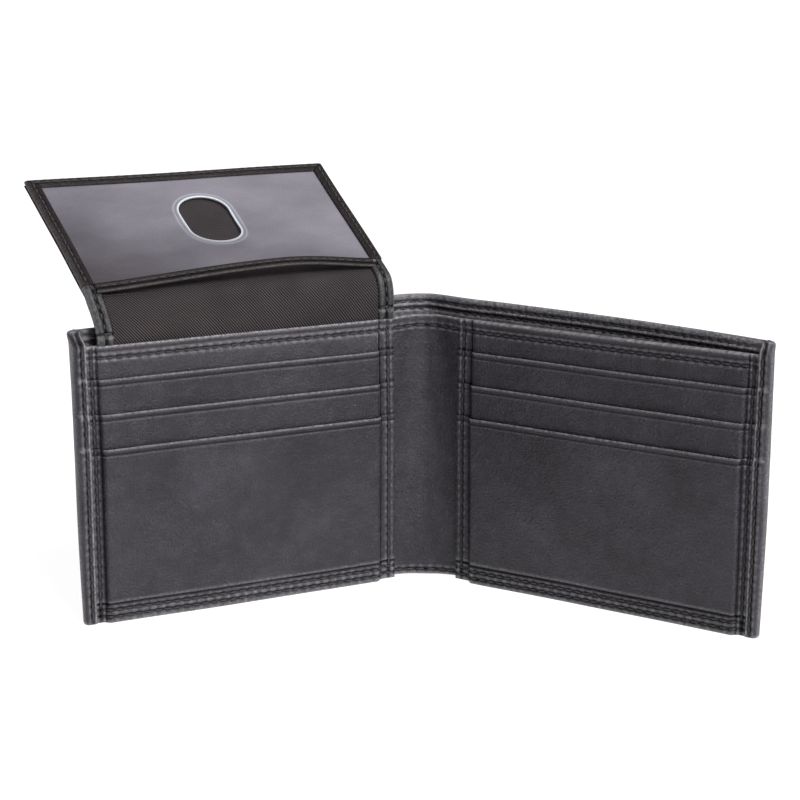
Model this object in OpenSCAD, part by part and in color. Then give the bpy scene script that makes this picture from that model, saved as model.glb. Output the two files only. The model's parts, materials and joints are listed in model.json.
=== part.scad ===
// Billfold wallet with two main leaves and a flip-up ID leaf, standing open on its bottom edges.
// Units are millimetres and +Z is up. The origin is the middle of the spine's standing edge.
// The inner faces look towards -Y. Each leaf has its own axes: u runs from its fold line to its
// outer edge, w from its inner wall's face towards the reader, and v up.

/* [Leaves] */
// Width of one main leaf, from its fold line to its outer edge
leaf_w = 103; // [98:1:108]
// Height of the outer shell
shell_h = 90; // [89:1:94]
// Height of the card panels and of the inner wall
panel_h = 86; // [84:1:87]
// Radius of the shell's top outer corners
corner_r = 2.5; // [1:0.5:4]

/* [Spine] */
// Distance between the two fold lines
spine_w = 20; // [20:0.5:24]
// Angle that each leaf stands folded forward from flat
rest_fold = 28; // [27:1:32]
// How far the shell stands behind the leaves' shells where it goes round the spine
spine_bulge = 2.4; // [2.4:0.1:3]

/* [Leather and lining] */
// Thickness of the outer shell leather
shell_t = 1.1; // [0.9:0.1:1.2]
// Thickness of the inner wall leather
wall_t = 0.8; // [0.6:0.1:0.9]
// Thickness of the thinned leather of pockets, frames and bindings
leather_t = 0.6; // [0.5:0.05:0.6]
// Thickness of the compartment lining and of the twill
twill_t = 0.3; // [0.2:0.05:0.3]
// Thickness of the thin lining behind each card slot
slot_lining_t = 0.15; // [0.1:0.05:0.15]

/* [Bill compartment] */
// Gap between the shell and the inner wall at the shell's top edge
mouth_gap = 7.5; // [5:0.5:8]
// Height of the shell leather turned over inside the mouth
facing_h = 9; // [7:1:12]

/* [Card slots] */
// Height of the top edge of the highest slot
slot_top = 76; // [75:0.5:77]
// Distance between one slot edge and the next
slot_pitch = 10.5; // [10:0.5:11]
// Distance that each slot's leather runs on below the edge in front of it
slot_tuck = 5; // [4:0.5:6]
// How far each slot's edge stands in front of the one behind it
slot_step = 1; // [0.95:0.05:1]

/* [ID flap] */
// Width of the flap
flap_w = 99; // [92:0.5:99]
// Length of the twill strip between the leaf and the ID pocket
strip_len = 14.5; // [13:0.5:16.5]
// Length of the ID pocket
id_len = 59; // [56:0.5:60]
// Angle of the strip, leaning back from upright
strip_lean = 16; // [14:1:24]
// Angle of the ID pocket, leaning back from upright
id_lean = 64; // [58:1:66]
// Width of the leather frame round the window
frame_w = 4.2; // [4:0.1:4.4]
// Width of the thumb slot in the window
thumb_w = 16; // [14:0.5:18]
// Length of the thumb slot in the window
thumb_len = 23.5; // [20:0.5:26]

/* [Hidden] */

// Colours
black_leather = "#2b2a2e";
brown_leather = "#33292a";
dark_twill = "#362e2e";
thin_lining = "#242326";
dark_thread = "#19191b";
clear_film = [0.80, 0.80, 0.86, 0.35];

// Leaf layers, w. The inner wall's face is w = 0.
fold_gap = 0.6;               // from the fold line to the first edge of a leaf's layers
seam_h = 5;                   // the shell leaves the inner wall above the bottom seam
lining_drop = 0.4;            // the lining stops short of the standing edge
compartment_back = -wall_t;   // the compartment's rear face at the seam
compartment_lean = mouth_gap / (shell_h - seam_h);
facing_low = shell_h - facing_h;
slip_gap = 0.4;               // hidden slip pocket behind the card panel
backing_t = 0.2;
header_back = slip_gap + backing_t;
header_front = header_back + leather_t;
header_low = slot_top - slot_tuck;
pocket_t = leather_t + slot_lining_t;

// Turned outer edge: a side wall, and a border that lies over the panel's edge
edge_wall_t = 0.7;
panel_end = leaf_w - edge_wall_t;
border_w = 5.2;
border_t = 0.7;
border_gap = 0.05;
border_rise = 0.5;            // the border's top stands above the panel

// Card slots, k = 0 highest. Each sheet leans out from the bottom seam to its edge.
slot_count = 3;
front_slot = slot_count - 1;
seam_first = 0.5;             // from the header's back to the first slot's back, at the seam
seam_step = 0.5;              // from one slot's back to the next, at the seam
slot_depth = 50;
lining_inset = 0.6;           // the slot linings stop short of the slot edges and of the seam

// Spine arc: tangent to both leaves, and standing on the origin by its shell
arc_r = spine_w / 2 / sin(rest_fold);
arc_facets = 180;
spine_rear = arc_r - compartment_back + twill_t + spine_bulge + shell_t / 2;
arc_y = -spine_rear;
fold_y = arc_y + arc_r * cos(rest_fold);
strip_lift = 0.6;             // the spine strip's foot stands clear of the surface
strip_half = rest_fold - 2;   // half angles, short enough for the leaves to open flat
shell_half = rest_fold - 3;
lining_half = rest_fold - 6;
thread_margin = 2;

// Flap: its fold axis lies level with the middle of the card panel, just above it
flap_start = fold_gap;
axis_w = 3.1;
axis_v = panel_h + 2;
anchor_w = 0.05;
anchor_h = 12;
anchor_rise = 0.6;
strip_root = 1.2;             // from the axis to the strip's foot
binding_t = 0.5;
binding_w = 6;
strip_front = 2.4;            // from the axis back to the side bindings' face
twill_front = strip_front + binding_t;
strip_back_front = twill_front + twill_t;
strip_rear = strip_back_front + leather_t;

// ID pocket layers, w from the bend axis at the strip's rear face
bend_gap = 0.3;
window_t = 0.3;
card_gap = 0.8;
id_back_t = 0.7;
id_front = 1.5;
window_front = id_front - leather_t;
window_back = window_front - window_t;
id_lining_front = window_back - card_gap;
id_back_front = id_lining_front - twill_t;
id_rear = id_back_front - id_back_t;
cloth_inset = 0.4;            // the lining and the window stop short of the pocket's edges
window_foot = 1;
mouth_w = 4.4;
mouth_inset = 0.4;
thumb_height = id_len * 0.53; // centre of the thumb slot above the bend

// Seams: thread_w wide and thread_t proud of the leather
thread_w = 0.5;
thread_t = 0.2;
row_gap = 2.2;                // between the two rows of a double seam
top_row = 3.6;                // from a panel's top edge down to its row
facing_row_inset = 3;
foot_row = 2;
fold_row = 2.4;               // from the fold line to the upright row
row_start = 4;
border_row = 1.2;             // from the leaf's outer edge to the first border row
row_end = leaf_w - border_w - 1;
frame_row = 1.8;

// ---------- shapes ----------

// A flat plate in leaf axes
module plate(u0, u1, w0, w1, v0, v1) {
    translate([u0, w0, v0]) cube([u1 - u0, w1 - w0, v1 - v0]);
}

// A cross-section of [w, v] points, carried along a leaf from u0 to u1
module along_leaf(u0, u1, section) {
    translate([u0, 0, 0]) rotate([90, 0, 90]) linear_extrude(height = u1 - u0) polygon(section);
}

// A cross-section of [w, v] points, carried round the spine's arc by half_angle each way
module round_spine(section, half_angle) {
    translate([0, arc_y, 0])
        rotate([0, 0, 90 - half_angle])
            rotate_extrude(angle = 2 * half_angle, $fn = arc_facets)
                polygon([for (p = section) [arc_r - p[0], p[1]]]);
}

module on_left() {
    translate([-spine_w / 2, fold_y, 0]) rotate([0, 0, 180 + rest_fold]) children();
}

module on_right() {
    mirror([1, 0, 0]) on_left() children();
}

// Strip axes: u along the fold, w towards the reader, v from the fold axis up the strip
module on_strip() {
    on_left() translate([flap_start, axis_w, axis_v]) rotate([strip_lean, 0, 0]) children();
}

// ID pocket axes: the same, from the bend at the strip's end
module on_id_leaf() {
    on_strip() translate([0, -strip_rear, strip_len]) rotate([id_lean - strip_lean, 0, 0]) children();
}

// ---------- cross-sections ----------

// w of the compartment's rear wall at height v: upright at the seam, then leaning back
function rear_wall(v) = compartment_back - compartment_lean * max(0, v - seam_h);

// The shell, with its top edge turned over inside the mouth
shell_front_section = [
    [rear_wall(0) - twill_t, 0],
    [rear_wall(seam_h) - twill_t, seam_h],
    [rear_wall(facing_low) - twill_t, facing_low],
    [rear_wall(facing_low), facing_low],
    [rear_wall(shell_h), shell_h]
];
shell_section = concat(shell_front_section, [
    [rear_wall(shell_h) - twill_t - shell_t, shell_h],
    [rear_wall(seam_h) - twill_t - shell_t, seam_h],
    [rear_wall(0) - twill_t - shell_t, 0]
]);

lining_section = [
    [rear_wall(0), lining_drop],
    [rear_wall(seam_h), seam_h],
    [rear_wall(facing_low), facing_low],
    [rear_wall(facing_low) - twill_t, facing_low],
    [rear_wall(seam_h) - twill_t, seam_h],
    [rear_wall(0) - twill_t, lining_drop]
];

// The same section, moved back to where it goes round the spine
function round_back(section) = [for (p = section) [p[0] - spine_bulge, p[1]]];

// A thin row of thread lying on a face: face0 and face1 are the face's w at v0 and v1
function thread_section(face0, face1, v0, v1) =
    [[face0, v0], [face0 + thread_t, v0], [face1 + thread_t, v1], [face1, v1]];

// Row i of the double seam along the shell's turned top edge
function facing_row(i) =
    let (v = shell_h - facing_row_inset - i * row_gap - thread_w)
    thread_section(rear_wall(v), rear_wall(v + thread_w), v, v + thread_w);

// ---------- card slots ----------

function slot_edge(k) = slot_top - k * slot_pitch;
function slot_low(k) = k == front_slot ? 0 : slot_edge(k + 1) - slot_tuck;

// w of the back of slot k's sheet at height v
function slot_back(k, v) =
    let (
        foot = header_back + seam_first + k * seam_step,
        edge = header_front + (k + 1) * slot_step - pocket_t
    )
    foot + (edge - foot) * v / slot_edge(k);

// w of the front of slot k's leather at height v, or of the header for k = -1
function slot_front(k, v) = k < 0 ? header_front : slot_back(k, v) + pocket_t;

function slot_sheet(k, back, thickness, low, high) = [
    [slot_back(k, low) + back, low],
    [slot_back(k, low) + back + thickness, low],
    [slot_back(k, high) + back + thickness, high],
    [slot_back(k, high) + back, high]
];

// The leather of slot k
module leaf_slot(k) {
    section = slot_sheet(k, slot_lining_t, leather_t, slot_low(k), slot_edge(k));
    color(black_leather) along_leaf(fold_gap, panel_end, section);
}

// The thin lining on the back of slot k
module leaf_slot_lining(k) {
    low = max(lining_inset, slot_edge(k) - slot_depth);
    section = slot_sheet(k, 0, slot_lining_t, low, slot_edge(k) - lining_inset);
    color(thin_lining) along_leaf(fold_gap, panel_end, section);
}

// ---------- leaf pieces ----------

// The shell with its top outer corner rounded
module leaf_shell() {
    reach = 2 * (mouth_gap + shell_t + twill_t + wall_t);
    color(black_leather) intersection() {
        along_leaf(fold_gap, leaf_w, shell_section);
        translate([0, reach / 2, 0]) rotate([90, 0, 0]) linear_extrude(height = reach) {
            square([leaf_w - corner_r, shell_h]);
            square([leaf_w, shell_h - corner_r]);
            translate([leaf_w - corner_r, shell_h - corner_r]) circle(r = corner_r, $fn = 48);
        }
    }
}

// The shell's outer edge, turned round the side of the leaf and over the panel's edge
module leaf_side_wrap() {
    border_top = panel_h + border_rise;
    edge_top = shell_h - corner_r;
    border_foot = slot_front(front_slot, 0) + border_gap;
    border_back = slot_front(front_slot, slot_edge(front_slot)) + border_gap;
    border_section = [
        [border_foot, 0], [border_back, slot_edge(front_slot)], [border_back, border_top],
        [border_back + border_t, border_top], [border_back + border_t, slot_edge(front_slot)],
        [border_foot + border_t, 0]
    ];
    wall_section = [
        [rear_wall(0) - twill_t, 0],
        [rear_wall(seam_h) - twill_t, seam_h],
        [rear_wall(facing_low) - twill_t, facing_low],
        [rear_wall(facing_low), facing_low],
        [rear_wall(edge_top), edge_top],
        [border_back, border_top],
        [border_back, slot_edge(front_slot)],
        [border_foot, 0]
    ];
    color(black_leather) {
        along_leaf(panel_end, leaf_w, wall_section);
        along_leaf(leaf_w - border_w, leaf_w, border_section);
    }
}

module leaf_lining() {
    color(dark_twill) along_leaf(fold_gap, panel_end, lining_section);
}

module leaf_inner_wall() {
    color(black_leather) plate(fold_gap, panel_end, -wall_t, 0, 0, panel_h);
}

module leaf_panel_backing() {
    color(thin_lining) plate(fold_gap, panel_end, slip_gap, header_back, lining_drop, panel_h);
}

module leaf_header() {
    color(black_leather) plate(fold_gap, panel_end, header_back, header_front, header_low, panel_h);
}

// A level thread row on the face of slot k
module level_row(k, v) {
    section = thread_section(slot_front(k, v), slot_front(k, v + thread_w), v, v + thread_w);
    along_leaf(row_start, row_end, section);
}

// An upright thread row beside the fold, on the face of slot k
module upright_row(k, v0, v1) {
    section = thread_section(slot_front(k, v0), slot_front(k, v1), v0, v1);
    along_leaf(fold_row, fold_row + thread_w, section);
}

// An upright thread row on the turned border
module border_thread(u) {
    face = slot_front(front_slot, slot_edge(front_slot)) + border_gap + border_t;
    section = thread_section(face, face, slot_edge(front_slot), panel_h - foot_row);
    along_leaf(u, u + thread_w, section);
}

module leaf_thread() {
    color(dark_thread) {
        level_row(-1, panel_h - top_row);
        upright_row(-1, slot_edge(0) + foot_row, panel_h - foot_row);
        for (k = [0 : front_slot]) {
            shown_low = k == front_slot ? 0 : slot_edge(k + 1);
            upright_row(k, shown_low + foot_row, slot_edge(k) - 1);
        }
        for (i = [0, 1]) {
            level_row(front_slot, foot_row + i * row_gap);
            border_thread(leaf_w - border_row - thread_w - i * row_gap);
            along_leaf(row_start, row_end, facing_row(i));
        }
    }
}

// ---------- spine pieces ----------

module spine_shell() {
    color(black_leather) round_spine(round_back(shell_section), shell_half);
}

module spine_lining() {
    color(dark_twill) round_spine(round_back(lining_section), lining_half);
}

module spine_strip() {
    section = [[0, strip_lift], [0, panel_h], [-wall_t, panel_h], [-wall_t, strip_lift]];
    color(black_leather) round_spine(section, strip_half);
}

module spine_thread() {
    color(dark_thread) {
        for (v = [strip_lift + foot_row, panel_h - top_row])
            round_spine(thread_section(0, 0, v, v + thread_w), strip_half - thread_margin);
        for (i = [0, 1])
            round_spine(round_back(facing_row(i)), shell_half - thread_margin);
    }
}

// ---------- ID flap ----------

// The twill's sewn end, held between the inner wall and the card panel
module flap_anchor() {
    color(dark_twill) on_left()
        plate(flap_start, flap_start + flap_w, anchor_w, anchor_w + twill_t,
              panel_h - anchor_h, panel_h + anchor_rise);
}

module strip_layer(u0, u1, w0, w1) {
    on_strip() plate(u0, u1, w0, w1, strip_root, strip_len - bend_gap);
}

module strip_back() {
    color(black_leather) strip_layer(0, flap_w, -strip_rear, -strip_back_front);
}

module strip_twill() {
    color(dark_twill) strip_layer(0, flap_w, -strip_back_front, -twill_front);
}

module strip_binding(u) {
    color(black_leather) strip_layer(u, u + binding_w, -twill_front, -strip_front);
}

module strip_thread() {
    color(dark_thread) on_strip()
        for (u = [(binding_w - thread_w) / 2, flap_w - (binding_w + thread_w) / 2])
            plate(u, u + thread_w, -strip_front, -strip_front + thread_t,
                  strip_root + 1, strip_len - bend_gap - 1);
}

module id_back() {
    color(black_leather) on_id_leaf() plate(0, flap_w, id_rear, id_back_front, bend_gap, id_len);
}

module id_lining() {
    color(dark_twill) on_id_leaf()
        plate(cloth_inset, flap_w - cloth_inset, id_back_front, id_lining_front,
              bend_gap, id_len - cloth_inset);
}

// The thumb slot's outline, standing along v
module thumb_slot() {
    straight = thumb_len - thumb_w;
    depth = 4 * window_t;
    for (v = [-straight / 2, straight / 2])
        translate([0, 0, v]) rotate([90, 0, 0]) cylinder(d = thumb_w, h = depth, center = true, $fn = 64);
    cube([thumb_w, depth, straight], center = true);
}

module id_window() {
    color(clear_film) on_id_leaf() difference() {
        plate(cloth_inset, flap_w - cloth_inset, window_back, window_front,
              window_foot, id_len - cloth_inset);
        translate([flap_w / 2, (window_back + window_front) / 2, thumb_height]) thumb_slot();
    }
}

module id_frame_far() {
    color(brown_leather) on_id_leaf() plate(0, flap_w, window_front, id_front, id_len - frame_w, id_len);
}

module id_frame_side(u) {
    color(brown_leather) on_id_leaf()
        plate(u, u + frame_w, window_front, id_front, bend_gap, id_len - frame_w);
}

module id_mouth_binding() {
    color(brown_leather) on_id_leaf()
        plate(frame_w, flap_w - frame_w, window_front, id_front, bend_gap + mouth_inset, mouth_w);
}

module id_thread() {
    row_top = id_len - frame_row;
    mouth_row = (mouth_w - thread_w) / 2;
    color(dark_thread) on_id_leaf() {
        plate(frame_row, flap_w - frame_row, id_front, id_front + thread_t, row_top - thread_w, row_top);
        for (u = [frame_row, flap_w - frame_row - thread_w])
            plate(u, u + thread_w, id_front, id_front + thread_t, mouth_row, row_top - 2 * thread_w);
        plate(frame_w + 1, flap_w - frame_w - 1, id_front, id_front + thread_t,
              mouth_row, mouth_row + thread_w);
    }
}

// ---------- nodes ----------

spine_shell();
spine_lining();
spine_strip();
spine_thread();

on_left() leaf_shell();  // left_shell
on_left() leaf_side_wrap();  // left_side_wrap
on_left() leaf_lining();  // left_lining
on_left() leaf_inner_wall();  // left_inner_wall
on_left() leaf_panel_backing();  // left_panel_backing
on_left() leaf_header();  // left_header
on_left() leaf_slot(0);  // left_slot_upper
on_left() leaf_slot(1);  // left_slot_middle
on_left() leaf_slot(2);  // left_slot_front
on_left() leaf_slot_lining(0);  // left_slot_upper_lining
on_left() leaf_slot_lining(1);  // left_slot_middle_lining
on_left() leaf_slot_lining(2);  // left_slot_front_lining
on_left() leaf_thread();  // left_leaf_thread

on_right() leaf_shell();  // right_shell
on_right() leaf_side_wrap();  // right_side_wrap
on_right() leaf_lining();  // right_lining
on_right() leaf_inner_wall();  // right_inner_wall
on_right() leaf_panel_backing();  // right_panel_backing
on_right() leaf_header();  // right_header
on_right() leaf_slot(0);  // right_slot_upper
on_right() leaf_slot(1);  // right_slot_middle
on_right() leaf_slot(2);  // right_slot_front
on_right() leaf_slot_lining(0);  // right_slot_upper_lining
on_right() leaf_slot_lining(1);  // right_slot_middle_lining
on_right() leaf_slot_lining(2);  // right_slot_front_lining
on_right() leaf_thread();  // right_leaf_thread

flap_anchor();
strip_back();
strip_twill();
strip_binding(flap_w - binding_w);  // strip_binding_left
strip_binding(0);  // strip_binding_right
strip_thread();
id_back();
id_lining();
id_window();
id_frame_far();
id_frame_side(flap_w - frame_w);  // id_frame_left
id_frame_side(0);  // id_frame_right
id_mouth_binding();
id_thread();
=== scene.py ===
"""Looks of the open billfold wallet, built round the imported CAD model.

Lengths are in millimetres until a mesh is made.
"""

import json
import math

import bmesh
import bpy
import numpy as np
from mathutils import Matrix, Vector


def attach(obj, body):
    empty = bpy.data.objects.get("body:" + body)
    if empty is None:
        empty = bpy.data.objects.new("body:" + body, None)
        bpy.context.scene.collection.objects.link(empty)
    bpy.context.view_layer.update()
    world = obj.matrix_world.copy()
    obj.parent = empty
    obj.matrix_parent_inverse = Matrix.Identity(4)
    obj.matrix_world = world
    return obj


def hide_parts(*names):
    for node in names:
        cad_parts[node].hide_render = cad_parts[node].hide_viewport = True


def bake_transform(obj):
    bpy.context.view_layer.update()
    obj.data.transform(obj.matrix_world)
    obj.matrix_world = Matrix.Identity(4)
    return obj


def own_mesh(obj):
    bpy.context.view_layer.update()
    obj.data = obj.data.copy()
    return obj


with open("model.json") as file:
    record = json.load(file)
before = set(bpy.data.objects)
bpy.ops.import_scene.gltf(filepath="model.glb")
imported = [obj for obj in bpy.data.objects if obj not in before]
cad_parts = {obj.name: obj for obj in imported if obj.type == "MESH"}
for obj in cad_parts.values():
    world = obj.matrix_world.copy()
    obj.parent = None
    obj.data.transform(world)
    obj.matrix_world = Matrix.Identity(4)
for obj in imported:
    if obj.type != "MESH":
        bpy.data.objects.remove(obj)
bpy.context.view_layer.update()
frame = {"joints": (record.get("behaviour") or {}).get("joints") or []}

MM = 0.001
LEFT, RIGHT = -1, 1
SIDE_NAMES = {LEFT: "left", RIGHT: "right"}
SHELL_BEND = (1, 20)
STRIP_BEND = (6, 10.5)
JOINTS = {joint["name"]: joint for joint in frame["joints"]}

# Leaves: u runs from the fold line to the outer edge, w towards the reader and v up.
REST_FOLD = math.radians(-JOINTS["left_fold"]["range_deg"][0])
COS_FOLD, SIN_FOLD = math.cos(REST_FOLD), math.sin(REST_FOLD)
FOLD_X, FOLD_Y = (value / MM for value in JOINTS["right_fold"]["pos_m"][:2])
LEAF_W = 103.0
SHELL_H = 90.0
PANEL_H = 86.0
CORNER_R = 1.4

# Spine: an arc tangent to both leaves. s runs from its middle along the arc and on along a leaf.
ARC_R = FOLD_X / SIN_FOLD
ARC_Y = FOLD_Y - ARC_R * COS_FOLD
ARC_LEN = ARC_R * REST_FOLD
STRIP_TUCK = 3.0

# Layers of a leaf, as w
WALL_T = 0.8
SHELL_T = 1.1
LEATHER_T = 0.6
LINING_T = 0.3
SLOT_LINING_T = 0.15
HEADER_FRONT = 1.2
HEADER_LOW = 71.0
SLOT_EDGES = (76.0, 65.5, 55.0)
SLOT_FEET = (60.5, 50.0, 0.0)
PANEL_START = 0.3
PANEL_END = 102.0

# Bands beside the slots, where the layers are stitched down
INNER_CREASE = 5.6
OUTER_CREASE = 97.2
INNER_SHARE = 0.30
OUTER_SHARE = 0.44

# Shell and its turned outer edge
SHELL_BACK = WALL_T + LINING_T + SHELL_T
SPINE_BULGE = 2.4
SEAM_H = 5.0
MOUTH_GAP = 12.0
SPINE_GAP = 17.0
TIP_GAP = {LEFT: 7.7, RIGHT: 3.4}
FACING_LOW = 81.0
FACING_T = 0.9
BORDER_T = 0.7
BORDER_IN = 100.1
TURN_U = 102.3
TURN_LEN = 7.0
S_BACK = ARC_LEN + TURN_U
S_TURN = S_BACK + TURN_LEN
S_END = S_TURN + TURN_U - BORDER_IN

# Stitch rows: u of the upright ones and v of the level ones
PITCH = 3.0
INNER_ROW = 2.5
PANEL_ROW = 98.7
BORDER_ROW = 101.4
FOOT_ROWS = (2.0, 4.2)
FOOT_CREASE = 6.0
HEADER_ROW = 82.4
FACING_ROWS = (SHELL_H - 2.4, SHELL_H - 4.6)
SPINE_ROWS = (PANEL_H - 3.5, 2.2)

# Flap: h runs up the ID leaf from the bend axis, n stands out from its face
FLAP_U0 = 0.6
FLAP_W = 99.0
FLAP_U1 = FLAP_U0 + FLAP_W
FLAP_EDGES = (("right", FLAP_U0, 1), ("left", FLAP_U1, -1))
FOOT_W = 95.6
ID_LEN = 59.0
ID_LEAN = math.radians(64)
FRAME_W = 4.2
FRAME_ROW = 1.9
FRAME_FRONT = 1.35
FRAME_T = 1.9
BINDING_W = 5.6
BINDING_T = 2.0
BINDING_TOP = 4.6
MOUTH_LOW, MOUTH_HIGH = 0.3, 4.5
MOUTH_ROW = MOUTH_LOW + 2.1
ID_NEAR, ID_FAR = 0.982, 1.018
MOUTH_BOW = 3.3
BOW_U = 36.0
ID_DROOP = 1.1
FILM_N = 0.75
THUMB_W = 16.2
THUMB_LEN = 26.0
THUMB_U = 49.0
THUMB_H = 31.2

TWILL_PITCH = 0.72
LINING_PITCH = 0.45
BACK_OFFSET = 9.0  # a sheet's back lies this far off in its pattern, so the two faces differ


# ---------------- shapes

def smooth(low, high, x):
    """0 below low, 1 above high, and a smooth step between them."""
    t = np.clip((x - low) / (high - low), 0, 1)
    return t * t * (3 - 2 * t)


def bump(x, width):
    """1 at x = 0, fading to nothing at a few widths."""
    return np.exp(-(x / width) ** 2)


def leaf_point(side, u, w, v):
    """A point of a leaf in the row frame."""
    u, w, v = np.broadcast_arrays(u, w, v)
    x = side * (FOLD_X + u * COS_FOLD - w * SIN_FOLD)
    y = FOLD_Y - u * SIN_FOLD - w * COS_FOLD
    return np.stack([x, y, v], -1)


def wall_point(side, s, behind, v):
    """A point behind the line that the inner wall and the spine strip follow."""
    s, behind, v = np.broadcast_arrays(s, behind, v)
    turn = np.clip(s / ARC_R, None, REST_FOLD)
    u = np.maximum(s - ARC_LEN, 0)
    x = (ARC_R + behind) * np.sin(turn) + u * np.cos(turn)
    y = ARC_Y + (ARC_R + behind) * np.cos(turn) - u * np.sin(turn)
    return np.stack([side * x, y, v], -1)


def wave(side, u, v):
    """Slight unevenness that all layers of a leaf share, so they never cross."""
    fade = smooth(0, 14, u)
    slow = 0.20 * np.sin(u / 16 + v / 27 + 1.7 * side)
    quick = 0.09 * np.sin(u / 7.5 - v / 11 + 0.6 * side)
    return fade * (slow + quick)


def press(u):
    """Share of the panel's depth that is left where its side bands are stitched down."""
    inner = INNER_SHARE + (1 - INNER_SHARE) * smooth(INNER_CREASE - 0.9, INNER_CREASE + 1.6, u)
    outer = OUTER_SHARE + (1 - OUTER_SHARE) * (1 - smooth(OUTER_CREASE - 1.4, OUTER_CREASE + 0.9, u))
    return inner * outer


def slot_front(k, v):
    """w of the front face of card slot k, which leans out from the bottom seam."""
    foot = 1.85 + 0.5 * k
    edge = 2.2 + k
    return foot + (edge - foot) * v / SLOT_EDGES[k]


def panel_depth(v, soft=0.0):
    """w of the frontmost layer at height v. soft spreads the steps at the slot edges."""
    depth = np.full(np.shape(v), HEADER_FRONT)
    below = depth
    for k, edge in enumerate(SLOT_EDGES):
        front = slot_front(k, v)
        share = 1 - smooth(edge - soft, edge + 0.3 * soft + 1e-6, v)
        depth = depth + (front - below) * share
        below = front
    return depth


def panel_point(side, u, v, soft=0.0):
    """A point just inside the frontmost layer of a leaf's card panel, where its stitches lie."""
    w = panel_depth(v, soft) * press(u) + wave(side, u, v) - 0.06
    return leaf_point(side, u, w, v)


def shell_gap(side, s, v):
    """Distance from the wall line back to the shell's outer face."""
    share = np.clip((s - ARC_LEN) / LEAF_W, 0, 1)
    at_spine = 1 - smooth(0, ARC_LEN + 7, s)
    foot = SHELL_BACK + SPINE_BULGE * at_spine
    if side == LEFT:
        peak = 1 - smooth(2, 16, s)
    else:
        peak = (1 - np.clip((np.hypot(s, 2.0) - 2.0) / (ARC_LEN - 1.5), 0, 1)) ** 2
    tip = TIP_GAP[side]
    top = tip + (MOUTH_GAP - tip) * (1 - share ** 2.2) + (SPINE_GAP - MOUTH_GAP) * peak
    rise = np.clip((v - SEAM_H) / (SHELL_H - SEAM_H), 0, 1)
    stitched_shut = 1 + 3 * smooth(0.7, 1, share)
    return foot + (top - foot) * rise ** stitched_shut


def corner_inset(v):
    """How far the shell's rounded top corner draws back the outer edge."""
    over = np.clip(v - (SHELL_H - CORNER_R), 0, CORNER_R * 0.999)
    return CORNER_R - np.sqrt(CORNER_R ** 2 - over ** 2)


def border_front(side, v):
    """w of the turned border's face. At the top it leans back onto the shell's facing."""
    on_panel = panel_depth(v, 1.1) * OUTER_SHARE + BORDER_T + 0.05
    on_facing = 2.5 - shell_gap(side, S_BACK, v)
    lean = smooth(86.0, 89.8, v)
    return on_panel + (on_facing - on_panel) * lean


def shell_point(side, s, v):
    """The shell's outer face: from the spine along the leaf, round its edge and onto its front."""
    inset = corner_inset(v)
    gap = shell_gap(side, np.minimum(s, S_BACK), v) - wave(side, np.minimum(s, S_BACK) - ARC_LEN, v)
    drawn_in = inset * smooth(60, TURN_U, s - ARC_LEN)
    back = wall_point(side, np.minimum(s, S_BACK) - drawn_in, gap, v)
    front_w = border_front(side, v) + wave(side, TURN_U, v)
    angle = np.clip((s - S_BACK) / TURN_LEN, 0, 1) * math.pi
    middle = (front_w - gap) / 2
    half = (front_w + gap) / 2
    past = np.maximum(s - S_TURN, 0)
    bowed = 0.8 + 0.7 * np.sin(math.pi * np.clip(v / SHELL_H, 0, 1))
    u = TURN_U - inset + (LEAF_W - TURN_U + bowed) * np.sin(angle) ** 0.8 - past
    round_edge = leaf_point(side, u, middle - half * np.cos(angle), v)
    return np.where((s <= S_BACK)[..., None], back, round_edge)


def strip_behind(s, v):
    """How far the spine strip stands behind the wall line: it leans back between the leaves."""
    at_spine = 1 - smooth(0, ARC_LEN + 1, s)
    lean = -1.2 + 4.2 * v / PANEL_H
    crease = 0.10 * bump(s, 1.8)
    folds = 0.22 * np.sin(v / 6.5 + s / 2.3) * smooth(0, 4, s) * at_spine
    return at_spine * lean + crease + folds


def axis_in_leaf(name):
    """(w, v) of a flap joint's axis in the left leaf's own axes."""
    x, y, z = (value / MM for value in JOINTS[name]["pos_m"])
    w = (-(x + FOLD_X)) * -SIN_FOLD + (FOLD_Y - y) * COS_FOLD
    return w, z


BEND_W, BEND_V = axis_in_leaf("flap_bend")
UP_W, UP_V = -math.sin(ID_LEAN), math.cos(ID_LEAN)
OUT_W, OUT_V = math.cos(ID_LEAN), math.sin(ID_LEAN)


def id_point(u, h, n):
    """A point of the ID leaf. Its near left corner droops a little."""
    u, h, n = np.broadcast_arrays(u, h, n)
    u_wide = FLAP_U0 + (u - FLAP_U0) * (ID_NEAR + (ID_FAR - ID_NEAR) * h / ID_LEN)
    n = n - ID_DROOP * smooth(30, FLAP_U1, u) * (1 - smooth(0, 30, h)) + 0.12 * np.sin(u / 13 + h / 9)
    w = BEND_W + UP_W * h + OUT_W * n
    v = BEND_V + UP_V * h + OUT_V * n
    return leaf_point(LEFT, u_wide, w, v)


def mouth_bow(u, h):
    """How far the pocket's mouth stands open, fading away up the window."""
    reach = np.where(u < BOW_U, (u - 4) / (BOW_U - 4), (FLAP_U1 - 4 - u) / (FLAP_U1 - 4 - BOW_U))
    across = np.sin(np.clip(reach, 0, 1) * math.pi / 2) ** 1.3
    return MOUTH_BOW * across * (1 - smooth(1, 34, h))


def in_leaf(h, n):
    """(w, v) of a point of the ID leaf's plane."""
    return (BEND_W + UP_W * h + OUT_W * n, BEND_V + UP_V * h + OUT_V * n)


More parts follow.
